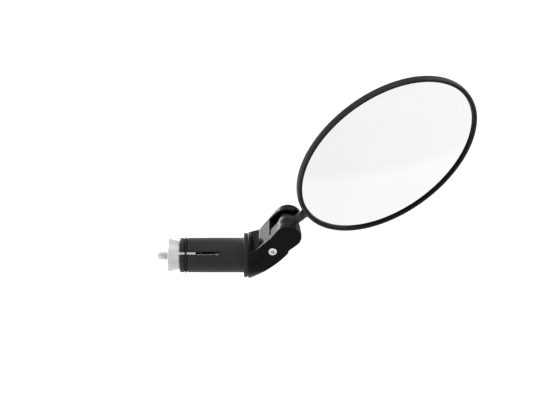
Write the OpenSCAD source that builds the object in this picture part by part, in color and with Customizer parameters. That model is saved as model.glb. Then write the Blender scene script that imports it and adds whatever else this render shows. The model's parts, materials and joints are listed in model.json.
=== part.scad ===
// Bar-end bike mirror: an expander plug for the handlebar's bore, a clamp arm
// with a separate jaw, a ball on the mirror's stub, and a round convex mirror.
// X runs outboard along the handlebar, Y forward, Z up.
// The origin is the centre of the handlebar's end face.

/* [Plug] */
// Radius of the plug in the handlebar's bore
plug_r = 8.7; // [8:0.1:9.5]
// Length of the plug inside the handlebar
plug_l = 32; // [28:1:36]
// Radius of the collar that rests on the handlebar's end
collar_r = 11.1; // [10.8:0.1:11.5]
// Thickness of that collar
collar_t = 1.5; // [1:0.1:2]
// Thickness of the friction washer under the arm
friction_t = 0.6; // [0.4:0.1:1]

/* [Arm] */
// Radius of the arm's round flange
flange_r = 11.6; // [11:0.1:12.5]
// Thickness of the arm's round flange
flange_t = 1.6; // [1.4:0.1:2.4]
// Half of the arm's width across the clamp
half_w = 9; // [8.8:0.1:9.5]
// Distance from the clamp screw to the ball
arm_l = 11.6; // [11.5:0.1:12.5]
// Angle of the clamp above the handlebar's axis
arm_angle = 49; // [48:0.1:51]

/* [Ball joint] */
// Radius of the ball
ball_r = 5.3; // [5.1:0.1:5.4]
// Place of the ball across the clamp
ball_y = 0.8; // [0.6:0.1:1]
// Radius of the clamp's round end
jaw_r = 6.7; // [6.6:0.1:7]
// Heading of the stub, forward from the handlebar's axis
stub_heading = 21.8; // [18:0.1:24]
// Rise of the stub above level
stub_rise = 28.8; // [24:0.1:30]

/* [Mirror] */
// Outer radius of the mirror's rim
rim_r = 50.3; // [45:0.1:51]
// Distance from the ball to the mirror's centre
mirror_reach = 60.5; // [60.3:0.1:64]
// Turn of the mirror's face about its stub
face_roll = 101; // [80:0.1:120]
// Radius of curvature of the convex glass
glass_curve = 450; // [350:10:800]
// Thickness of the glass
glass_t = 1.2; // [1:0.1:1.4]
// Depth of the domed back below the rim
dome_depth = 10.5; // [8:0.5:12]

/* [Hidden] */
$fn = 96;
eps = 0.1;
run_gap = 0.05;

// Plug and its expander
slot_w = 1.6;
slot_l = 20;
bolt_r = 2.5;
wedge_x = -24;
wedge_l = 14;
wedge_r = 5.5;
wedge_slope = 0.2;
key_w = 1.3;
key_r = 7.6;
oring_r = 0.9;
oring_x = -29;
nut5_af = 8;
nut5_t = 4;
bolt_end_x = -43;
socket5_af = 4;

// Arm: places are [x, z] beside the handlebar's axis
arm_x = collar_t + friction_t;
web_t = 3;
bolt_seat_x = arm_x + web_t;
well_r = 4.9;
washer5_r = 4.5;
washer5_t = 1;
head5_r = 4.25;
head5_l = 5;
screw_at = [arm_x + 12.2, 9.65];
ball_at = screw_at + arm_l * [cos(arm_angle), sin(arm_angle)];
ball_pos = [ball_at.x, ball_y, ball_at.y];
ear_y = 4.64;
jaw_y = -1.2;
key_y = -5.6;
pivot_r = 5.45;
jaw_gap = 0.2;
slot_end = 4.3;
jaw_end = 4.8;
crown = [arm_x + 10.5, 17];
shoulder = [arm_x + 5.5, 9.3];
ear_slope = 57;
ear_tip = ball_at + jaw_r * [-sin(ear_slope), cos(ear_slope)];
belly_centre = [arm_x - 20.4, 37.7];
belly_r = 50;
keel_end = [arm_x + 9.2, -2.7];
ramp_dip = 0.5;
front_web_t = 1.2;
flare_from = -63;
flare_turn = 108;

// Clamp screw, M4 with a pan head
screw_r = 2;
screw_hole_r = 2.3;
screw_head_r = 2.2;
screw_head_y = -half_w - 1.1;
screw_head_l = 1.5;
screw_sink_r = 2.7;
nut4_af = 7;
nut4_y = 5.6;
nut4_t = 3.2;

// Ball joint
cavity_r = ball_r + 0.3;
seat_r = 3.9;
seat_cup_r = ball_r + run_gap;
seat_lip = 4;
seat_front_y = ball_y - 7.1;
seat_rear_y = ball_y + 6.5;
pin_r = 1.5;
pin_end = -3.8;
stub_r = 2.3;
lug_l = 2.2;
lug_y = 4.2;
lug_z = 1.45;
lug_x = mirror_reach - rim_r - lug_l;
spigot_l = 2;

// Mirror head: z is along the face's normal from the stub's axis
lip_z = 1.6;
lip_w = 2.25;
lip_in_r = rim_r - lip_w;
bezel_out_r = rim_r - 0.95;
glass_r = rim_r - 1.55;
glass_edge_z = 0.55;
glass_crown = glass_curve - sqrt(glass_curve * glass_curve - glass_r * glass_r);
glue_t = 0.5;
glue_in_r = glass_r - 5.75;
glue_out_r = glass_r - 1.35;
wall_t = 1.3;
rim_low_z = -0.4;
edge_round = 1.2;
edge_end = 57;
dome_edge_r = rim_r - edge_round * (1 - cos(edge_end));
dome_edge_z = rim_low_z - edge_round * sin(edge_end);
dome_power = 2.8;

function circle_point(centre, r, a) = centre + r * [cos(a), sin(a)];
function arc(centre, r, from, to, steps) =
    [for (i = [0 : steps]) circle_point(centre, r, from + (to - from) * i / steps)];
// Height of the glass's front surface at radius r, lowered by drop
function glass_z(r, drop = 0) =
    glass_edge_z + glass_crown - drop
    - (glass_curve - sqrt(glass_curve * glass_curve - r * r));
// Height of the dome's outer surface at radius r, raised by wall
function dome_z(r, wall = 0) =
    dome_edge_z + wall - dome_depth * (1 - pow(r / dome_edge_r, dome_power));

module along_x(x = 0) translate([x, 0, 0]) rotate([0, 90, 0]) children();
module hex_x(af, h, x) along_x(x) cylinder(r = af / sqrt(3), h = h, $fn = 6);
// Draws an [x, z] outline and extrudes it from y0 to y1
module slab(y0, y1) translate([0, y1, 0]) rotate([90, 0, 0])
    linear_extrude(y1 - y0) children();
// A round bar along Y at an [x, z] place
module across(at, r, y0, y1) translate([at.x, y1, at.y]) rotate([90, 0, 0])
    cylinder(r = r, h = y1 - y0);
// A turned shape whose outline is [radius, y] about the ball's Y axis
module turned_at_ball(angle = 360, from = 0) translate([ball_at.x, 0, ball_at.y])
    rotate([-90, 0, 0]) rotate([0, 0, from]) rotate_extrude(angle = angle) children();
module at_stub() translate(ball_pos) rotate([0, -stub_rise, stub_heading]) children();
module at_mirror() at_stub() translate([mirror_reach, 0, 0]) rotate([face_roll, 0, 0]) children();

// ---- plug ----
module sleeve_slots() for (a = [45 : 90 : 315]) rotate([a, 0, 0])
    translate([-plug_l - eps, -slot_w / 2, bolt_r]) cube([slot_l, slot_w, plug_r]);

module wedge_cone(gap, x_in) along_x(x_in)
    cylinder(r1 = wedge_r + gap + wedge_slope * (wedge_x - x_in), r2 = wedge_r + gap, h = wedge_x - x_in);

module plug_sleeve() color("dimgray") difference() {
    union() {
        along_x(-plug_l) cylinder(r = plug_r, h = plug_l);
        along_x(0) cylinder(r = collar_r, h = collar_t);
    }
    along_x(-plug_l - eps) cylinder(r = bolt_r + run_gap, h = plug_l + collar_t + 2 * eps);
    wedge_cone(run_gap, -plug_l - eps);
    sleeve_slots();
    translate([oring_x, 0, 0]) rotate([0, 90, 0])
        rotate_extrude() translate([plug_r, 0]) circle(oring_r, $fn = 24);
}

module retaining_oring() color("black") translate([oring_x, 0, 0]) rotate([0, 90, 0])
    rotate_extrude() translate([plug_r - 0.35, 0]) circle(oring_r - 0.4, $fn = 24);

module friction_washer() color("black") difference() {
    along_x(collar_t) cylinder(r = collar_r - 0.3, h = friction_t);
    along_x(collar_t - eps) cylinder(r = bolt_r + run_gap, h = friction_t + 2 * eps);
}

module wedge_keys() for (a = [45, 225]) rotate([a, 0, 0])
    translate([wedge_x - wedge_l, -key_w / 2, wedge_r - 1]) cube([wedge_l, key_w, key_r - wedge_r + 1]);

module expander_wedge() color("silver") difference() {
    union() {
        wedge_cone(0, wedge_x - wedge_l);
        wedge_keys();
    }
    along_x(wedge_x - wedge_l - eps) cylinder(r = bolt_r + run_gap, h = wedge_l + 2 * eps);
    hex_x(nut5_af + run_gap, nut5_t + eps, wedge_x - wedge_l - eps);
}

module wedge_nut() color("gainsboro") difference() {
    hex_x(nut5_af, nut5_t, wedge_x - wedge_l);
    along_x(wedge_x - wedge_l - eps) cylinder(r = bolt_r + run_gap, h = nut5_t + 2 * eps);
}

module expander_bolt() color("darkgray") difference() {
    union() {
        along_x(bolt_end_x) cylinder(r = bolt_r, h = bolt_seat_x + washer5_t - bolt_end_x);
        along_x(bolt_seat_x + washer5_t) cylinder(r = head5_r, h = head5_l);
    }
    hex_x(socket5_af, head5_l, bolt_seat_x + washer5_t + 2.3);
}

module bolt_washer() color("gainsboro") difference() {
    along_x(bolt_seat_x) cylinder(r = washer5_r, h = washer5_t);
    along_x(bolt_seat_x - eps) cylinder(r = bolt_r, h = washer5_t + 2 * eps);
}

// ---- arm ----
// Two discs of radius r1 and r2, centres d apart, joined by their tangents
module link(r1, r2, d) {
    a = acos((r1 - r2) / d);
    circle(r1);
    translate([d, 0]) circle(r2);
    polygon([for (end = [[0, r1, 1], [d, r2, 1], [d, r2, -1], [0, r1, -1]])
        [end[0] + end[1] * cos(a), end[2] * end[1] * sin(a)]]);
}
module clamp_outline(grow = 0) translate(screw_at) rotate(arm_angle)
    link(pivot_r + grow, jaw_r + grow, arm_l);

module beyond(along) translate(screw_at) rotate(arm_angle) translate([along, -30]) square([40, 60]);

module arm_outline() {
    translate(ball_at) circle(jaw_r);
    polygon(concat([[arm_x, 7.6], [arm_x, -6.5]], arc(belly_centre, belly_r, -62.8, -35.9, 10),
        [circle_point(ball_at, jaw_r, arm_angle - 90), ball_at, ear_tip, shoulder]));
}

module flange() along_x(arm_x) rotate_extrude()
    polygon([[0, 0], [flange_r - 0.4, 0], [flange_r, 0.4], [flange_r, flange_t - 0.6],
        [flange_r - 0.6, flange_t], [0, flange_t]]);

// Body that runs from the round flange to the flat belly and the flat front
module keel() intersection() {
    hull() {
        along_x(arm_x + flange_t - 0.5) cylinder(r = flange_r - 0.3, h = 0.4, $fn = 64);
        translate([keel_end.x - 1, -half_w, keel_end.y]) cube([1, 2 * half_w, 9]);
    }
    translate([arm_x, -flange_r, -flange_r]) cube([keel_end.x - arm_x, 2 * flange_r, flange_r + 7]);
}

// Thin wall along the front of the ramp, straight from the flange to the crown
module front_web() slab(-half_w, -half_w + front_web_t)
    polygon([[arm_x + 1.1, 7.1], [crown.x - 0.2, crown.y], [crown.x, crown.y], [crown.x, 8]]);

// Room in front of the ear for the jaw, with a rear wall that leans back
module jaw_slot() intersection() {
    slab(-half_w - eps, half_w) beyond(slot_end);
    linear_extrude(40) polygon([[crown.x - 3, -half_w - eps], [crown.x - 3, 8], [crown.x, 8],
        [crown.x + 3.4, 6.5], [crown.x + 6.7, 5.3], [ball_at.x, ear_y], [40, ear_y], [40, -half_w - eps]]);
}

// Shallow hollow in the ramp, with a strip left along the rear
module ramp_hollow() intersection() {
    slab(-half_w, half_w) offset(delta = ramp_dip) polygon([[arm_x, 20],
        [arm_x, 7.6 + 2 * ramp_dip / cos(17)], shoulder + [-0.64, 0.85], crown + [0, 1.84], [crown.x, 20]]);
    linear_extrude(40) polygon([[arm_x + flange_t, -half_w], [arm_x + flange_t, 7.4],
        [arm_x + 7.2, 4.2], [crown.x - 0.7, 1.5], [crown.x - 0.7, -half_w]]);
}

// Room for the stub to swing and tilt between the ear and the jaw
module stub_flare() turned_at_ball(flare_turn, flare_from)
    polygon([[0, ear_y - 1], [8, ear_y - 1], [8, 7.15], [3.6, 5], [0, 5]]);

module base_arm() color("#202022") difference() {
    union() {
        flange();
        keel();
        difference() {
            slab(-half_w, half_w) arm_outline();
            ramp_hollow();
        }
        front_web();
    }
    jaw_slot();
    slab(-flange_r, key_y) clamp_outline(jaw_gap);
    along_x(arm_x - eps) cylinder(r = bolt_r + run_gap, h = 10);
    along_x(bolt_seat_x) cylinder(r = well_r, h = 20);
    across(screw_at, screw_hole_r, key_y - eps, half_w);
    translate([screw_at.x, half_w + eps, screw_at.y]) rotate([90, 0, 0]) rotate(arm_angle - 30)
        cylinder(r = (nut4_af + run_gap) / sqrt(3), h = half_w + eps - nut4_y, $fn = 6);
    translate(ball_pos) sphere(cavity_r);
    across(ball_at, seat_r + run_gap, 0, seat_rear_y);
    stub_flare();
}

module clamp_nut() color("silver") difference() {
    translate([screw_at.x, nut4_y + nut4_t, screw_at.y]) rotate([90, 0, 0]) rotate(arm_angle - 30)
        cylinder(r = nut4_af / sqrt(3), h = nut4_t, $fn = 6);
    across(screw_at, screw_r + run_gap, nut4_y - eps, half_w);
}

module jaw_boss() intersection() {
    slab(key_y - eps, jaw_y) clamp_outline(-0.4);
    slab(key_y - 1, jaw_y) beyond(jaw_end);
}

module clamp_jaw() color("#101012") difference() {
    union() {
        slab(-half_w, key_y) clamp_outline();
        jaw_boss();
    }
    across(screw_at, screw_hole_r, -half_w - eps, half_w);
    across(screw_at, screw_sink_r, -half_w - eps, screw_head_y + screw_head_l);
    translate(ball_pos) sphere(cavity_r);
    across(ball_at, seat_r + run_gap, seat_front_y, 0);
    turned_at_ball(flare_turn, flare_from)
        polygon([[0, jaw_y + 1], [8, jaw_y + 1], [8, -2.5], [3.6, jaw_y], [0, jaw_y]]);
}

module clamp_screw() color("gainsboro") difference() {
    union() {
        across(screw_at, screw_r, screw_head_y + screw_head_l, nut4_y + nut4_t);
        translate([screw_at.x, screw_head_y + screw_head_l, screw_at.y]) rotate([90, 0, 0])
            rotate_extrude() polygon(concat([[0, 0], [screw_head_r, 0]],
                arc([screw_head_r - 0.9, screw_head_l - 1], 0.9, 0, 70, 5), [[0, screw_head_l]]));
    }
    for (a = [20, 110]) translate([screw_at.x, screw_head_y - eps, screw_at.y]) rotate([0, a, 0])
        translate([-1.3, 0, -0.28]) cube([2.6, 1.1, 0.56]);
}

// ---- ball joint ----
module seat(y0, y1) difference() {
    across(ball_at, seat_r, y0, y1);
    translate(ball_pos) sphere(seat_cup_r);
}
module seat_front() color("#3a3a3c") seat(seat_front_y, ball_y - seat_lip);
module seat_rear() color("#3a3a3c") seat(ball_y + seat_lip, seat_rear_y);

module pivot_ball() color("dimgray") difference() {
    translate(ball_pos) sphere(ball_r);
    at_stub() along_x(pin_end - 0.2) cylinder(r = pin_r + run_gap, h = 12);
}

// ---- mirror head ----
module stub_core() color("#2a2a2c") at_stub() along_x(0) rotate_extrude()
    polygon([[0, pin_end], [pin_r, pin_end], [pin_r, sqrt(ball_r * ball_r - pin_r * pin_r) + run_gap],
        [stub_r, sqrt(ball_r * ball_r - stub_r * stub_r) + run_gap], [stub_r, lug_x], [pin_r, lug_x],
        [pin_r, lug_x + spigot_l], [0, lug_x + spigot_l]]);

// Shell outline, [radius, z], from the rim's lip round the back to the centre
function shell_outside() = concat(
    [[bezel_out_r + 0.05, lip_z - 0.15], [bezel_out_r + 0.3, lip_z]],
    arc([rim_r - 0.5, lip_z - 0.5], 0.5, 90, 0, 5),
    arc([rim_r - edge_round, rim_low_z], edge_round, 0, -edge_end, 7),
    [for (i = [9 : -1 : 0]) [dome_edge_r * i / 10, dome_z(dome_edge_r * i / 10)]]);
function shell_inside() = concat(
    [for (i = [0 : 9]) [(glue_in_r - 0.5) * i / 9, dome_z((glue_in_r - 0.5) * i / 9, wall_t)]],
    [for (r = [glue_in_r - 0.5, glue_out_r + 0.1]) [r, glass_z(r, glass_t + glue_t)]],
    [for (r = [glue_out_r + 0.1, glass_r + 0.05]) [r, glass_z(r, glass_t + 0.02)]],
    [[glass_r + 0.05, glass_edge_z], [bezel_out_r + 0.05, glass_edge_z]]);

// Lug where the stub meets the rim
module stub_lug() hull() {
    translate([-rim_r - lug_l, 0, 0]) rotate([0, 90, 0]) cylinder(r = stub_r, h = 0.2);
    translate([-rim_r + 0.2, 0, 0]) rotate([0, 90, 0]) scale([lug_z, lug_y, 1]) cylinder(r = 1, h = 0.2);
}

module housing_shell() color("#232325") difference() {
    at_mirror() union() {
        rotate_extrude($fn = 180) polygon(concat(shell_outside(), shell_inside()));
        stub_lug();
    }
    at_stub() along_x(lug_x - eps) cylinder(r = pin_r, h = spigot_l + eps);
}

module mirror_glass() color("aliceblue") at_mirror() rotate_extrude($fn = 180)
    polygon(concat([for (i = [0 : 12]) [glass_r * i / 12, glass_z(glass_r * i / 12)]],
        [for (i = [12 : -1 : 0]) [glass_r * i / 12, glass_z(glass_r * i / 12, glass_t)]]));

module adhesive_ring() color("lightgray") at_mirror() rotate_extrude($fn = 180)
    polygon([for (p = [[glue_in_r, 0.02], [glue_out_r, 0.02], [glue_out_r, glue_t], [glue_in_r, glue_t]])
        [p[0], glass_z(p[0], glass_t + p[1])]]);

module bezel_ring() color("#18181a") at_mirror() rotate_extrude($fn = 180)
    polygon([[lip_in_r, glass_z(lip_in_r)], [glass_r, glass_edge_z], [bezel_out_r, glass_edge_z],
        [bezel_out_r, lip_z - 0.15], [bezel_out_r - 0.25, lip_z], [lip_in_r + 0.35, lip_z],
        [lip_in_r, lip_z - 0.35]]);

plug_sleeve();
retaining_oring();
friction_washer();
expander_wedge();
wedge_nut();
expander_bolt();
bolt_washer();
base_arm();
clamp_nut();
clamp_jaw();
clamp_screw();
seat_front();
seat_rear();
pivot_ball();
stub_core();
housing_shell();
mirror_glass();
adhesive_ring();
bezel_ring();
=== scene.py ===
"""Looks of a bar-end bike mirror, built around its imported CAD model.
Shapes are written in millimetres, each in the frame of the part it belongs to."""
import json
import math

import bmesh
import bpy
from mathutils import Matrix, Vector


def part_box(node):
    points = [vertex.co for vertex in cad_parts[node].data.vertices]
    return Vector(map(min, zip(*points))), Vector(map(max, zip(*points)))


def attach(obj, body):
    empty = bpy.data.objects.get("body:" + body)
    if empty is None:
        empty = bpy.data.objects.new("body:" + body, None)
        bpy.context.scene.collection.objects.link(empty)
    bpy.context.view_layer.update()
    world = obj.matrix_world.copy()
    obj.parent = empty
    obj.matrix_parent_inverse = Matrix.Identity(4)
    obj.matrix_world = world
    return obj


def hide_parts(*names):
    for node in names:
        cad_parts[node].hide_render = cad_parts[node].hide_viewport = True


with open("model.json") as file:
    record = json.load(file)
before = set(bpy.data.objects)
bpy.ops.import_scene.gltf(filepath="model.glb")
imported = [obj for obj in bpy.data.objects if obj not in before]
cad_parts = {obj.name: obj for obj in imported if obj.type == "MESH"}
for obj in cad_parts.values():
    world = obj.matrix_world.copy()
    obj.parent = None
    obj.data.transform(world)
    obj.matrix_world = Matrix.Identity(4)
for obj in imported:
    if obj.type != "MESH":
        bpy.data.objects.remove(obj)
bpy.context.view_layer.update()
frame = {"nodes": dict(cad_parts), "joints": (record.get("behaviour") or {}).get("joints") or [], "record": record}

MM = 0.001
TAU = 2 * math.pi
record = frame["record"]
joints = {j["name"]: j for j in frame["joints"]}
body_of = {n: b for b, members in record["behaviour"]["bodies"].items() for n in members}
slot_of = {s["node"]: s["material_slot"] for s in record["subparts"]}


# ---------------------------------------------------------------- dimensions, in millimetres

PLUG_R = 8.7
PLUG_END = -32
SLOT_W = 1.6
SLOT_END = -12.1
SLOT_ANGLES = (45, 135, 225, 315)
RUN_GAP = 0.05
M4_R = 2.0
M5_R = 2.5
NUT4_AF = 7
NUT5_AF = 8
COLLAR_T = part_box("plug_sleeve")[1].x / MM
COLLAR_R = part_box("plug_sleeve")[1].z / MM
ARM_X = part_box("friction_washer")[1].x / MM
WASHER = [v / MM for v in (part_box("bolt_washer")[0].x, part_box("bolt_washer")[1].x)]
BOLT = [v / MM for v in (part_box("expander_bolt")[0].x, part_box("expander_bolt")[1].x)]
WEDGE_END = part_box("wedge_nut")[0].x / MM
ORING_X = (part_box("retaining_oring")[0].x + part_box("retaining_oring")[1].x) / 2 / MM
ORING_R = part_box("retaining_oring")[1].z / MM

SCREW_AT = Vector(joints["screw_turn"]["pos_m"]) / MM
SCREW_TOP = -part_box("clamp_screw")[0].y / MM
SCREW_END = -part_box("clamp_screw")[1].y / MM
CLAMP_ANGLE = 49
NUT4_Y = (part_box("clamp_nut")[0].y / MM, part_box("clamp_nut")[1].y / MM)

BALL_AT = Vector(joints["mirror_spin"]["pos_m"]) / MM
BALL_R = 5.3
SEAT_R = 3.9
SEAT_LIP = 4.0
STUB_AXIS = Vector(joints["mirror_spin"]["axis"])
STUB_R = 2.3
PIN_R = 1.5
PIN_END = -3.8
SPIGOT_L = 2
LUG_X = 8.0
LUG_L = 2.2

RIM_R = 50.3
MIRROR_REACH = 60.5
FACE_ROLL = math.radians(101)
LIP_Z = 1.6
LIP_IN_R = RIM_R - 2.25
BEZEL_OUT_R = RIM_R - 0.95
GLASS_R = RIM_R - 1.55
GLASS_T = 1.2
GLASS_EDGE_Z = 0.55
GLASS_CURVE = 450
GLUE_T = 0.5
GLUE_IN_R = GLASS_R - 5.75
GLUE_OUT_R = GLASS_R - 1.35
WALL_T = 1.3
RIM_LOW_Z = -0.4
EDGE_ROUND = 1.2
EDGE_END = math.radians(57)
DOME_R = RIM_R - EDGE_ROUND * (1 - math.cos(EDGE_END))
DOME_Z = RIM_LOW_Z - EDGE_ROUND * math.sin(EDGE_END)
DOME_DEPTH = 10.5
DOME_POWER = 2.8


def placed(x=0, y=0, z=0):
    return Matrix.Translation(Vector((x, y, z)) * MM)


ALONG_X = Matrix.Rotation(math.pi / 2, 4, "Y")
TOWARDS_FRONT = Matrix.Rotation(math.pi / 2, 4, "X")
AT_SCREW = placed(SCREW_AT.x, 0, SCREW_AT.z) @ TOWARDS_FRONT
AT_BALL = placed(*BALL_AT) @ TOWARDS_FRONT
STUB_TURN = (Matrix.Rotation(math.atan2(STUB_AXIS.y, STUB_AXIS.x), 4, "Z")
             @ Matrix.Rotation(-math.asin(STUB_AXIS.z), 4, "Y"))
AT_STUB = placed(*BALL_AT) @ STUB_TURN
AT_MIRROR = AT_STUB @ placed(MIRROR_REACH) @ Matrix.Rotation(FACE_ROLL, 4, "X")


def about_plug(angle):
    """Turns a prism drawn as (across, along) so that it stands out of the plug at that angle."""
    return (Matrix.Rotation(math.radians(angle), 4, "Z") @ Matrix.Rotation(math.pi / 2, 4, "X")
            @ Matrix.Rotation(math.pi, 4, "Y"))


# ---------------------------------------------------------------- materials

def node(tree, kind, **values):
    made = tree.nodes.new(kind)
    for key, value in values.items():
        if key in made.inputs:
            made.inputs[key].default_value = value
        else:
            setattr(made, key.lower(), value)
    return made


def noise(tree, scale, detail):
    """Noise in the piece's own space, with scale in spots per millimetre."""
    coords = tree.nodes.new("ShaderNodeTexCoord")
    made = node(tree, "ShaderNodeTexNoise", Scale=scale / MM, Detail=detail)
    tree.links.new(coords.outputs["Object"], made.inputs["Vector"])
    return made.outputs["Fac"]


def spread(tree, value, low, high, start=0.3, end=0.7):
    made = node(tree, "ShaderNodeMapRange", **{"From Min": start, "From Max": end,
                                               "To Min": low, "To Max": high})
    made.clamp = True
    tree.links.new(value, made.inputs["Value"])
    return made.outputs["Result"]


def mixed(tree, factor, first, second):
    made = node(tree, "ShaderNodeMix")
    made.data_type = "RGBA"
    for socket, value in ((made.inputs[6], first), (made.inputs[7], second)):
        if isinstance(value, tuple):
            socket.default_value = (*value, 1)
        else:
            tree.links.new(value, socket)
    tree.links.new(factor, made.inputs[0])
    return made.outputs[2]


def gained(tree, first, second):
    made = node(tree, "ShaderNodeMath", operation="ADD")
    tree.links.new(first, made.inputs[0])
    tree.links.new(second, made.inputs[1])
    return made.outputs[0]


def surface(name, colors, rough, grain, patches=0.15, metallic=0.0, specular=0.5,
            edge_highlight_tone=None, front=None):
    """A material with noise in its tone, its roughness and its bumps.
    colors are the two tones of the patches, rough the range of roughness over them, and
    grain (spots per mm, height in mm) the fine bumps. wear is the lighter colour of a painted highlight on sharp
    edges.
    front is (tone, roughness) of faces turned to the part's polished front; the darker tone there is painted
    shade."""
    mat = bpy.data.materials.new(name)
    mat.use_nodes = True
    tree = mat.node_tree
    bsdf = tree.nodes["Principled BSDF"]
    bsdf.inputs["Metallic"].default_value = metallic
    bsdf.inputs["Specular IOR Level"].default_value = specular
    patch = noise(tree, patches, 5)
    color = mixed(tree, spread(tree, patch, 0, 1), *colors)
    roughness = spread(tree, noise(tree, patches * 5, 6), *rough)
    spots, height = grain
    # Faces turned to the part's front (-Y) get painted shade, a darker colour, along with a lower roughness.
    if front:
        coords = tree.nodes.new("ShaderNodeTexCoord")
        split = tree.nodes.new("ShaderNodeSeparateXYZ")
        tree.links.new(coords.outputs["Normal"], split.inputs[0])
        front_shade_and_polish = spread(tree, split.outputs["Y"], 1, 0, -0.95, -0.72)
        color = mixed(tree, front_shade_and_polish, color, front[0])
        polish = node(tree, "ShaderNodeMix")
        tree.links.new(front_shade_and_polish, polish.inputs[0])
        tree.links.new(roughness, polish.inputs[2])
        polish.inputs[3].default_value = front[1]
        roughness = polish.outputs[0]
    # Sharp, pointy edges get a painted highlight: a lighter colour mixed in by pointiness.
    if edge_highlight_tone:
        edges = tree.nodes.new("ShaderNodeNewGeometry")
        edge_highlight_mask = spread(tree, edges.outputs["Pointiness"], 0, 1, 0.53, 0.62)
        color = mixed(tree, edge_highlight_mask, color, edge_highlight_tone)
    tree.links.new(color, bsdf.inputs["Base Color"])
    tree.links.new(roughness, bsdf.inputs["Roughness"])
    bump = node(tree, "ShaderNodeBump", Distance=height * MM, Strength=1.0)
    fine = noise(tree, spots, 3)
    broad = noise(tree, spots / 9, 2)
    tree.links.new(gained(tree, fine, broad), bump.inputs["Height"])
    tree.links.new(bump.outputs["Normal"], bsdf.inputs["Normal"])
    return mat


MATERIALS = {
    "sleeve_nylon": surface("moulded_nylon", ((0.012, 0.012, 0.013), (0.020, 0.020, 0.022)),
                            (0.42, 0.6), (5, 0.012), specular=0.22),
    "oring_rubber": surface("dull_rubber", ((0.010, 0.010, 0.010), (0.020, 0.019, 0.018)),
                            (0.7, 0.85), (7, 0.02), specular=0.25),
    "washer_nylon": surface("dark_nylon", ((0.012, 0.012, 0.013), (0.02, 0.02, 0.022)),
                            (0.4, 0.55), (6, 0.008), specular=0.3),
    "wedge_alloy": surface("cast_alloy", ((0.50, 0.51, 0.53), (0.66, 0.66, 0.67)),
                           (0.3, 0.46), (4, 0.012), metallic=1.0),
    "zinc_steel": surface("zinc_plate", ((0.60, 0.61, 0.62), (0.80, 0.80, 0.79)),
                          (0.16, 0.3), (6, 0.003), patches=0.5, metallic=1.0),
    "arm_black": surface("moulded_gloss_black", ((0.005, 0.005, 0.0054), (0.009, 0.009, 0.0095)),
                         # The lighter edge colour here is a painted highlight on sharp edges.
                         (0.2, 0.3), (4.5, 0.005), specular=0.09, edge_highlight_tone=(0.055, 0.055, 0.057),
                         # The dark front tone here is painted shade on the faces turned to the front.
                         front=((0.001, 0.001, 0.0012), 0.2)),
    "seat_nylon": surface("seat_nylon", ((0.05, 0.05, 0.05), (0.08, 0.08, 0.08)),
                          (0.5, 0.65), (5, 0.008), specular=0.3),
    "ball_black": surface("ball_satin_black", ((0.016, 0.016, 0.017), (0.026, 0.026, 0.028)),
                          (0.34, 0.46), (4, 0.005), specular=0.2),
    "stub_black": surface("stub_coated_black", ((0.009, 0.009, 0.010), (0.016, 0.016, 0.018)),
                          (0.26, 0.38), (4, 0.005), specular=0.4),
    "shell_black": surface("textured_black", ((0.010, 0.010, 0.011), (0.018, 0.018, 0.020)),
                           (0.34, 0.46), (3.2, 0.015), specular=0.22),
    "bezel_black": surface("rim_black", ((0.003, 0.003, 0.0033), (0.005, 0.005, 0.0055)),
                           (0.24, 0.34), (4, 0.005), specular=0.06),
    "mirror": surface("silvered_glass", ((0.866, 0.868, 0.868), (0.884, 0.886, 0.886)),
                      (0.012, 0.03), (0.02, 0.0004), patches=0.03, metallic=1.0),
    "foam": surface("foam_tape", ((0.30, 0.30, 0.29), (0.42, 0.42, 0.40)),
                    (0.85, 0.95), (5, 0.06), specular=0.1),
}


# ---------------------------------------------------------------- shapes

def arc(centre, radius, start, end, steps):
    """Points of a circle's arc, with angles in degrees."""
    turns = [math.radians(start + (end - start) * i / steps) for i in range(steps + 1)]
    return [(centre[0] + radius * math.cos(a), centre[1] + radius * math.sin(a)) for a in turns]


def eased(points, radius, steps=4):
    """The closed outline with each corner rounded by up to that radius."""
    out = []
    count = len(points)
    for i, corner in enumerate(points):
        here, before, after = Vector(corner), Vector(points[i - 1]), Vector(points[(i + 1) % count])
        reach = min(radius, (before - here).length * 0.45, (after - here).length * 0.45)
        start = here + (before - here).normalized() * reach
        end = here + (after - here).normalized() * reach
        for k in range(steps + 1):
            t = k / steps
            p = start * (1 - t) ** 2 + here * 2 * t * (1 - t) + end * t ** 2
            out.append((max(p.x, 0), p.y))
    return out


def turned(bm, rings, segments=96, closed=False):
    """Turns rings of (radius, height) about Z. Either may be a function of the angle."""
    made = []
    for radius, height in rings:
        if radius == 0:
            made.append([bm.verts.new((0, 0, height * MM))])
            continue
        loop = []
        for i in range(segments):
            a = TAU * i / segments
            r = radius(a) if callable(radius) else radius
            h = height(a) if callable(height) else height
            loop.append(bm.verts.new((r * math.cos(a) * MM, r * math.sin(a) * MM, h * MM)))
        made.append(loop)
    pairs = list(zip(made, made[1:])) + ([(made[-1], made[0])] if closed else [])
    for one, two in pairs:
        for i in range(segments):
            j = (i + 1) % segments
            corners = [one[i % len(one)], one[j % len(one)], two[j % len(two)], two[i % len(two)]]
            bm.faces.new(list(dict.fromkeys(corners)))


made_here = []


def piece(name, cad_node, bm, place, sharp=38):
    """Makes the mesh an object at place that stands for the CAD node."""
    bmesh.ops.recalc_face_normals(bm, faces=bm.faces)
    data = bpy.data.meshes.new(name)
    bm.to_mesh(data)
    bm.free()
    data.shade_smooth()
    data.set_sharp_from_angle(angle=math.radians(sharp))
    obj = bpy.data.objects.new(name, data)
    obj.matrix_world = place
    data.materials.append(MATERIALS[slot_of[cad_node]])
    bpy.context.scene.collection.objects.link(obj)
    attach(obj, body_of[cad_node])
    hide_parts(cad_node)
    made_here.append(obj)
    return obj


def turned_piece(name, cad_node, rings, place, segments=96, closed=False, sharp=38):
    bm = bmesh.new()
    turned(bm, rings, segments, closed)
    return piece(name, cad_node, bm, place, sharp)


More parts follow.
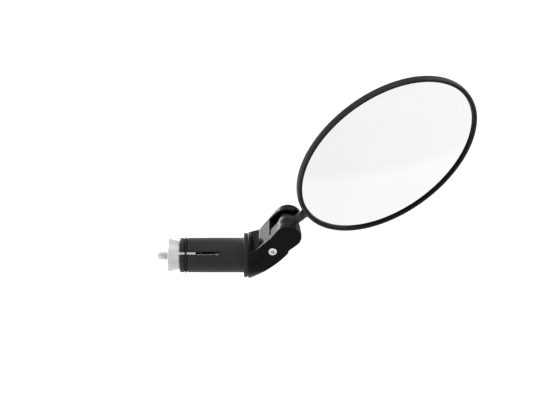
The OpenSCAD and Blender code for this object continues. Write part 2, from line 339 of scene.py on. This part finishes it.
def prism(outline, low, high):
    """A mesh of the (x, y) outline between two heights."""
    bm = bmesh.new()
    ends = [[bm.verts.new((x * MM, y * MM, h * MM)) for x, y in outline] for h in (low, high)]
    for end in ends:
        bm.faces.new(end)
    for i in range(len(outline)):
        j = (i + 1) % len(outline)
        bm.faces.new((ends[0][i], ends[0][j], ends[1][j], ends[1][i]))
    bmesh.ops.recalc_face_normals(bm, faces=bm.faces)
    return bm


def carve(obj, cutters, edge):
    """Cuts the (mesh, matrix) cutters out of the object, and breaks its sharp edges."""
    tools = []
    for bm, matrix in cutters:
        data = bpy.data.meshes.new("cutter")
        bm.to_mesh(data)
        bm.free()
        tool = bpy.data.objects.new("cutter", data)
        tool.matrix_world = obj.matrix_world @ matrix
        bpy.context.scene.collection.objects.link(tool)
        cut = obj.modifiers.new("cut", "BOOLEAN")
        cut.object, cut.solver = tool, "EXACT"
        tools.append(tool)
    bevel = obj.modifiers.new("edges", "BEVEL")
    bevel.width, bevel.segments, bevel.angle_limit = edge * MM, 2, math.radians(50)
    bevel.harden_normals = True
    bpy.context.view_layer.update()
    shown = obj.evaluated_get(bpy.context.evaluated_depsgraph_get())
    done = bpy.data.meshes.new_from_object(shown)
    obj.modifiers.clear()
    obj.data = done
    for tool in tools:
        bpy.data.objects.remove(tool)


def hexagon(across_flats, turn=0.0):
    """The radius of a hexagon at an angle."""
    def radius(a):
        return across_flats / 2 / math.cos((a - turn) % (TAU / 6) - TAU / 12)
    return radius


def hex_nut(name, cad_node, across_flats, start, end, bore, place, turn=0.0):
    """A hexagonal nut with chamfered corners and a countersunk, threaded bore."""
    outside = hexagon(across_flats, turn)
    shoulder = across_flats / 2 * 0.97
    rise = math.tan(math.radians(30))
    rings = [(bore + 0.35, start), (shoulder, start),
             (outside, lambda a: start + (outside(a) - shoulder) * rise),
             (outside, lambda a: end - (outside(a) - shoulder) * rise),
             (shoulder, end), (bore + 0.35, end), (bore, end - 0.35)]
    pitch, steps = 0.8, 6
    rows = int((end - start - 0.8) / pitch * steps)
    rings += [((lambda a, h=h: bore + 0.12 * abs(((h / pitch + a / TAU) % 1) * 2 - 1)), h)
              for h in (end - 0.4 - k * pitch / steps for k in range(rows + 1))]
    rings.append((bore, start + 0.35))
    return turned_piece(name, cad_node, rings, place, 144, closed=True, sharp=30)


def thread(start, end, radius, pitch, depth, fade=1.2):
    """Rings of a helical thread from start to end, which runs out at both ends."""
    steps = 8
    rings = []
    for k in range(int(abs(end - start) / pitch * steps) + 1):
        h = start + math.copysign(k * pitch / steps, end - start)
        cut = depth * min(1, abs(h - start) / fade, abs(end - h) / fade)
        rings.append(((lambda a, h=h, cut=cut:
                       radius - cut * abs(((h / pitch - a / TAU) % 1) * 2 - 1)), h))
    return rings


# ---------------------------------------------------------------- plug and expander bolt

def add_sleeve():
    """Split sleeve with a chamfered nose, a groove for the ring and a collar on the bar's end."""
    cone_wide, cone_thin, cone_start, cone_x = 7.1 + RUN_GAP, 5.5 + RUN_GAP, -20, -24
    bore = M5_R + RUN_GAP
    groove = arc((PLUG_R, ORING_X), 0.9, 265, 95, 12)
    rings = [(cone_wide + 0.3, PLUG_END), (PLUG_R - 0.5, PLUG_END), (PLUG_R - 0.1, PLUG_END + 0.5),
             *groove, (PLUG_R, -13), (PLUG_R, -11.5), (PLUG_R, -0.4), (PLUG_R + 0.15, -0.1),
             (PLUG_R + 0.5, 0), (COLLAR_R - 0.15, 0), (COLLAR_R, 0.15),
             (COLLAR_R, COLLAR_T - 0.2), (COLLAR_R - 0.2, COLLAR_T), (bore, COLLAR_T),
             (bore, cone_start), (cone_thin, cone_x), (cone_wide, PLUG_END + 0.3)]
    sleeve = turned_piece("plug_split_sleeve", "plug_sleeve", rings, ALONG_X, 128, closed=True)
    half = SLOT_W / 2
    outline = [(half, PLUG_END - 2), *arc((0, SLOT_END - half), half, 0, 180, 10),
               (-half, PLUG_END - 2)]
    carve(sleeve, [(prism(outline, 1, 12), about_plug(a)) for a in SLOT_ANGLES], 0.12)


def add_wedge():
    """Cone of cast alloy with two keys that run in the sleeve's slots."""
    start, end, thick, thin = WEDGE_END, WEDGE_END + 14, 8.3, 5.5
    key_half, key_in, key_out = 0.65, 4.5, 7.6
    nut_r, nut_seat, bore = 4.7, WEDGE_END + 4.02, 2.6
    rings = [(nut_r, start), (thick - 0.5, start), (thick, start + 0.4),
             *[(thick - (thick - thin) * t, start + (end - start) * t)
               for t in (0.2, 0.5, 0.8, 0.97)],
             (thin - 0.4, end), (bore, end), (bore, nut_seat), (nut_r, nut_seat)]
    turned_piece("wedge_cone", "expander_wedge", rings, ALONG_X, 96, closed=True)
    for angle, name in ((135, "wedge_key_a"), (315, "wedge_key_b")):
        bm = prism([(-key_half, start), (key_half, start), (key_half, end), (-key_half, end)],
                   key_in, key_out)
        key = piece(name, "expander_wedge", bm, ALONG_X @ about_plug(angle))
        carve(key, [], 0.15)


def add_washers_and_rings():
    """Nylon washer under the arm, steel washer under the bolt's head, and the rubber ring."""
    nylon = [(2.6, COLLAR_T + 0.01), (10.8, COLLAR_T + 0.01), (10.8, ARM_X), (2.6, ARM_X)]
    turned_piece("friction_washer_disc", "friction_washer", eased(nylon, 0.15), ALONG_X,
                 closed=True)
    section = 0.5
    turned_piece("retaining_oring_ring", "retaining_oring",
                 arc((ORING_R - section, ORING_X), section, 0, 337.5, 15),
                 ALONG_X, closed=True, sharp=80)
    steel = [(2.55, WASHER[0]), (4.5, WASHER[0]), (4.5, WASHER[1]), (2.55, WASHER[1])]
    turned_piece("bolt_washer_disc", "bolt_washer", eased(steel, 0.18), ALONG_X, closed=True)


add_sleeve()
add_wedge()
add_washers_and_rings()
hex_nut("wedge_hex_nut", "wedge_nut", NUT5_AF, WEDGE_END, WEDGE_END + 4, M5_R + 0.02, ALONG_X)


def add_expander_bolt():
    """M5 socket-head bolt: knurled head, hexagonal socket and a thread on its inner end."""
    head_r, socket, depth = 4.2, hexagon(4), 2.6
    end, low, top = BOLT[0], WASHER[1], BOLT[1]

    def knurled(a):
        return head_r + 0.05 * math.cos(a * 40)

    rings = [(0, end), (M5_R - 0.7, end), (M5_R - 0.1, end + 0.6)]
    rings += thread(end + 0.6, -14, M5_R, 0.8, 0.4)
    rings += [(M5_R, -13), (M5_R, low - 0.01), (head_r - 0.3, low), (head_r, low + 0.3),
              (knurled, low + 0.6), (knurled, top - 1.1), (head_r, top - 0.8)]
    rings += arc((head_r - 0.6, top - 0.6), 0.6, 0, 90, 5)
    rings += [((lambda a: socket(a) + 0.25), top), (socket, top - 0.2), (socket, top - depth),
              (0, top - depth - 0.7)]
    turned_piece("expander_socket_bolt", "expander_bolt", rings, ALONG_X, 240, sharp=32)


add_expander_bolt()


# ---------------------------------------------------------------- clamp screw and nut

def add_clamp_screw():
    """M4 pan-head screw with a tapered cross recess."""
    head_r, base, top, end = 2.2, SCREW_TOP - 1.5, SCREW_TOP, SCREW_END + 0.02
    turn, arm_w, arm_l = math.radians(-20), 0.3, 1.35

    def cross(scale):
        def radius(a):
            from_arm = abs((a - turn + TAU / 8) % (TAU / 4) - TAU / 8)
            return scale * min(arm_l, arm_w / max(math.sin(from_arm), 1e-6))
        return radius

    def dome(r):
        return top - 0.17 * (r / 1.6) ** 2

    rings = [(0, end), (M4_R - 0.6, end), (M4_R - 0.1, end + 0.48)]
    rings += thread(end + 0.48, base - 3, M4_R, 0.7, 0.35)
    rings += [(M4_R, base - 2.5), (M4_R, base - 0.01), (head_r - 0.05, base),
              (head_r, base + 0.08)]
    rings += arc((head_r - 0.9, base + 0.5), 0.9, 0, 70, 7)
    lip, floor_ring = cross(1), cross(0.62)
    rings += [((lambda a: lip(a) + 0.07), lambda a: dome(lip(a) + 0.07)),
              (lip, lambda a: dome(lip(a)) - 0.06), (floor_ring, top - 0.95), (0, top - 1.15)]
    turned_piece("clamp_pan_screw", "clamp_screw", rings, AT_SCREW, 192, sharp=28)


add_clamp_screw()
hex_nut("clamp_hex_nut", "clamp_nut", NUT4_AF, -NUT4_Y[1], -NUT4_Y[0], M4_R + 0.02, AT_SCREW,
        math.radians(CLAMP_ANGLE - 30))


# ---------------------------------------------------------------- ball, seats and stub

def add_ball():
    """Ball with a bore for the stub's pin, open towards the stub."""
    bore = PIN_R + RUN_GAP
    mouth = math.degrees(math.asin((bore + 0.2) / BALL_R))
    outside = [(BALL_R * math.sin(math.radians(a)), BALL_R * math.cos(math.radians(a)))
               for a in [mouth + (180 - mouth) * i / 48 for i in range(48)]]
    rings = [(0, -4), (bore, -4), (bore, outside[0][1] - 0.15), *outside, (0, -BALL_R)]
    turned_piece("pivot_ball_turned", "pivot_ball", rings, AT_STUB @ ALONG_X, 128, sharp=50)


def add_seats():
    """Nylon discs with a cup that fits the ball, one on each side of it."""
    cup_r = BALL_R + RUN_GAP
    cup = [(cup_r * math.sin(a), cup_r * math.cos(a)) for a in
           [math.acos(SEAT_LIP / cup_r) * i / 16 for i in range(16, -1, -1)]]
    for name, side, depth in (("seat_front", 1, 7.1), ("seat_rear", -1, 6.5)):
        low = [(r, side * h) for r, h in cup if r < SEAT_R]
        rings = [(0, side * depth), (SEAT_R - 0.2, side * depth), (SEAT_R, side * (depth - 0.2)),
                 (SEAT_R, side * (SEAT_LIP + 0.1)), *low[:-1], (0, low[-1][1])]
        turned_piece(name + "_cup", name, rings, AT_BALL, 72)


def add_stub():
    """Rod with a pin in the ball at one end and a spigot in the mirror's lug at the other."""
    step, foot = (math.sqrt(BALL_R ** 2 - r ** 2) + RUN_GAP for r in (PIN_R, STUB_R))
    tip = LUG_X + SPIGOT_L
    rings = [(0, PIN_END), (PIN_R - 0.2, PIN_END), (PIN_R, PIN_END + 0.2), (PIN_R, step),
             (STUB_R - 0.12, foot), (STUB_R, foot + 0.15), (STUB_R, LUG_X),
             (PIN_R, LUG_X + 0.01), (PIN_R, tip), (0, tip)]
    turned_piece("stub_rod", "stub_core", rings, AT_STUB @ ALONG_X, 96)


add_ball()
add_seats()
add_stub()


# ---------------------------------------------------------------- mirror head

def glass_z(r, drop=0.0):
    """Height of the glass's front surface at radius r, lowered by drop."""
    return GLASS_EDGE_Z - drop + (math.sqrt(GLASS_CURVE ** 2 - r * r)
                                  - math.sqrt(GLASS_CURVE ** 2 - GLASS_R ** 2))


def dome_z(r, wall=0.0):
    """Height of the domed back's outer surface at radius r, raised by wall."""
    return DOME_Z + wall - DOME_DEPTH * (1 - (r / DOME_R) ** DOME_POWER)


def add_glass():
    """Convex glass with a rounded edge."""
    half = GLASS_T / 2
    edge = [(GLASS_R - half * 0.5 + p[0] * 0.5, p[1])
            for p in arc((0, GLASS_EDGE_Z - half), half - 0.02, 85, -85, 8)]
    front = [(GLASS_R * i / 40, glass_z(GLASS_R * i / 40)) for i in range(1, 40)]
    back = [(GLASS_R * i / 10, glass_z(GLASS_R * i / 10, GLASS_T)) for i in range(9, 0, -1)]
    rings = [(0, glass_z(0)), *front, *edge, *back, (0, glass_z(0, GLASS_T))]
    turned_piece("convex_mirror_glass", "mirror_glass", rings, AT_MIRROR, 240, sharp=50)


def add_bezel():
    """Ring over the glass's edge, with both upper edges rounded."""
    rings = [(LIP_IN_R, glass_z(LIP_IN_R) + 0.02), (GLASS_R, GLASS_EDGE_Z + 0.02),
             (BEZEL_OUT_R, GLASS_EDGE_Z + 0.02), (BEZEL_OUT_R, LIP_Z - 0.2),
             *arc((BEZEL_OUT_R - 0.2, LIP_Z - 0.2), 0.2, 15, 90, 4),
             *arc((LIP_IN_R + 0.4, LIP_Z - 0.4), 0.4, 90, 175, 6)]
    turned_piece("rim_bezel_ring", "bezel_ring", rings, AT_MIRROR, 240, closed=True, sharp=50)


def add_foam():
    """Foam tape that bonds the glass to the shelf in the shell."""
    low, high = 0.03, GLUE_T - 0.02
    outline = [(r, glass_z(r, GLASS_T + d)) for r, d in
               ((GLUE_IN_R, low), (GLUE_OUT_R, low), (GLUE_OUT_R, high), (GLUE_IN_R, high))]
    turned_piece("foam_tape_ring", "adhesive_ring", eased(outline, 0.1, 2), AT_MIRROR, 180,
                 closed=True)


def add_housing():
    """Rim, domed back with two fine moulded steps, and the lug that flares into the rim."""
    bm = bmesh.new()
    steps = ((14.0, 0.35), (40.0, 0.3))
    groove = 0.14

    def back(r):
        dip = sum(groove * math.exp(-((r - at) / wide) ** 2) for at, wide in steps)
        return dome_z(r) + dip

    shelf_in, shelf_out, wall_r = GLUE_IN_R - 0.5, GLUE_OUT_R + 0.1, GLASS_R + 0.05
    radii = sorted({DOME_R * i / 44 for i in range(1, 44)}
                   | {at + wide * k / 2 for at, wide in steps for k in range(-4, 5)}, reverse=True)
    rings = [(BEZEL_OUT_R + 0.04, GLASS_EDGE_Z), (BEZEL_OUT_R + 0.04, LIP_Z - 0.25),
             *arc((BEZEL_OUT_R + 0.24, LIP_Z - 0.25), 0.2, 165, 110, 3),
             *arc((RIM_R - 0.5, LIP_Z - 0.5), 0.5, 90, 5, 7),
             *arc((RIM_R - EDGE_ROUND, RIM_LOW_Z), EDGE_ROUND, 0, -math.degrees(EDGE_END), 9),
             *[(r, back(r)) for r in radii], (0, back(0))]
    inside = [(0, dome_z(0, WALL_T)),
              *[(shelf_in * i / 12, dome_z(shelf_in * i / 12, WALL_T)) for i in range(1, 13)],
              (shelf_in, glass_z(shelf_in, GLASS_T + GLUE_T)),
              (shelf_out, glass_z(shelf_out, GLASS_T + GLUE_T)),
              (shelf_out, glass_z(shelf_out, GLASS_T + 0.02)),
              (wall_r, glass_z(GLASS_R, GLASS_T + 0.02)),
              (wall_r, GLASS_EDGE_Z), (BEZEL_OUT_R + 0.04, GLASS_EDGE_Z)]
    turned(bm, rings, 240)
    turned(bm, inside, 240)
    bmesh.ops.remove_doubles(bm, verts=bm.verts, dist=1e-7)
    add_lug(bm)
    piece("mirror_housing", "housing_shell", bm, AT_MIRROR, sharp=42)


def add_lug(bm):
    """Lofts the lug from the stub's round end to a flat oval on the rim."""
    wide, high, rows, segments = 4.2, 1.45, 10, 48
    start, end = -RIM_R - LUG_L, -RIM_R + 0.45
    loops = []
    for k in range(rows + 1):
        t = k / rows
        x = start + (end - start) * t
        a = STUB_R + (wide - STUB_R) * t ** 2.4
        b = STUB_R + (high - STUB_R) * (3 * t * t - 2 * t ** 3)
        loops.append([bm.verts.new((x * MM, a * math.cos(TAU * i / segments) * MM,
                                    b * math.sin(TAU * i / segments) * MM))
                      for i in range(segments)])
    for one, two in zip(loops, loops[1:]):
        for i in range(segments):
            j = (i + 1) % segments
            bm.faces.new((one[i], one[j], two[j], two[i]))
    bm.faces.new(loops[0])
    bm.faces.new(loops[-1])


add_glass()
add_bezel()
add_foam()
add_housing()


# ---------------------------------------------------------------- CAD nodes that stay

def keep(cad_node, modifiers):
    """Gives a CAD node its material, and modifiers as (kind, settings)."""
    obj = frame["nodes"][cad_node]
    obj.data.materials.clear()
    obj.data.materials.append(MATERIALS[slot_of[cad_node]])
    for kind, settings in modifiers:
        made = obj.modifiers.new(kind.lower(), kind)
        for key, value in settings.items():
            setattr(made, key, value)


def softened(voxel, repeats):
    """Modifiers that round every edge of a moulded part."""
    return [("WELD", {"merge_threshold": 1e-6}),
            ("REMESH", {"mode": "VOXEL", "voxel_size": voxel * MM, "use_smooth_shade": True}),
            ("SMOOTH", {"factor": 0.5, "iterations": repeats})]


keep("base_arm", softened(0.2, 6))
keep("clamp_jaw", softened(0.2, 6))


# ---------------------------------------------------------------- camera, light and floor

CAMERA_TARGET = Vector((13.0, 16.15, 20.7)) * MM
CAMERA_RISE = math.radians(38)
CAMERA_DISTANCE = 1.4
VIEW_WIDTH = 0.27
SENSOR = 36
FLOOR_Z = -0.30
FLOOR_WHITE, FLOOR_PALE, FLOOR_GREY = ((v, v, v) for v in (0.92, 0.84, 0.795))


def add_camera():
    away = Vector((0, -math.cos(CAMERA_RISE), math.sin(CAMERA_RISE)))
    data = bpy.data.cameras.new("photo_camera")
    data.sensor_width = SENSOR
    data.lens = SENSOR * CAMERA_DISTANCE / VIEW_WIDTH
    data.clip_end = 20
    camera = bpy.data.objects.new("photo_camera", data)
    camera.location = CAMERA_TARGET + away * CAMERA_DISTANCE
    camera.rotation_euler = (math.pi / 2 - CAMERA_RISE, 0, 0)
    bpy.context.scene.collection.objects.link(camera)
    bpy.context.scene.camera = camera


def add_area_light(name, place, size, radiance):
    """A softbox of that radiance, turned to the object."""
    data = bpy.data.lights.new(name, "AREA")
    data.shape = "RECTANGLE"
    data.size, data.size_y = size
    data.energy = radiance * math.pi * size[0] * size[1]
    light = bpy.data.objects.new(name, data)
    light.location = place
    light.rotation_euler = (CAMERA_TARGET - Vector(place)).to_track_quat("-Z", "Y").to_euler()
    bpy.context.scene.collection.objects.link(light)


def add_world(strength):
    world = bpy.data.worlds.new("studio")
    world.use_nodes = True
    background = world.node_tree.nodes["Background"]
    background.inputs["Color"].default_value = (1, 1, 1, 1)
    background.inputs["Strength"].default_value = strength
    bpy.context.scene.world = world


def add_floor():
    """White paper, with a greyer side where the mirror sees it."""
    bpy.ops.mesh.primitive_plane_add(size=12, location=(0, 0, FLOOR_Z))
    floor = bpy.context.object
    floor.name = "studio_floor"
    mat = bpy.data.materials.new("floor_paper")
    mat.use_nodes = True
    bsdf = mat.node_tree.nodes["Principled BSDF"]
    bsdf.inputs["Specular IOR Level"].default_value = 0
    bsdf.inputs["Roughness"].default_value = 1
    tree = mat.node_tree
    coords = tree.nodes.new("ShaderNodeTexCoord")
    across = node(tree, "ShaderNodeVectorMath", operation="DOT_PRODUCT")
    across.inputs[1].default_value = (0.8, -0.6, 0)
    tree.links.new(coords.outputs["Object"], across.inputs[0])
    near = spread(tree, across.outputs["Value"], 0, 1, 0.05, 0.15)
    far = spread(tree, across.outputs["Value"], 0, 1, 0.26, 0.29)
    tone = mixed(tree, far, mixed(tree, near, FLOOR_WHITE, FLOOR_PALE), FLOOR_GREY)
    tree.links.new(tone, bsdf.inputs["Base Color"])
    floor.data.materials.append(mat)


bpy.context.scene.view_settings.view_transform = "Standard"
add_camera()
add_world(0.95)
add_area_light("back_softbox", (-1.15, 1.4, 0.05), (1.5, 0.6), 11)
add_area_light("top_softbox", (-0.2, 0.1, 1.3), (0.9, 0.9), 1.0)
add_area_light("side_strip", (1.2, 0.05, 0.25), (0.1, 0.5), 25)
add_floor()

# Meshes go into the row frame, so that each piece's box is exact
for obj in made_here:
    obj.data.transform(obj.matrix_world)
    obj.matrix_world = Matrix()
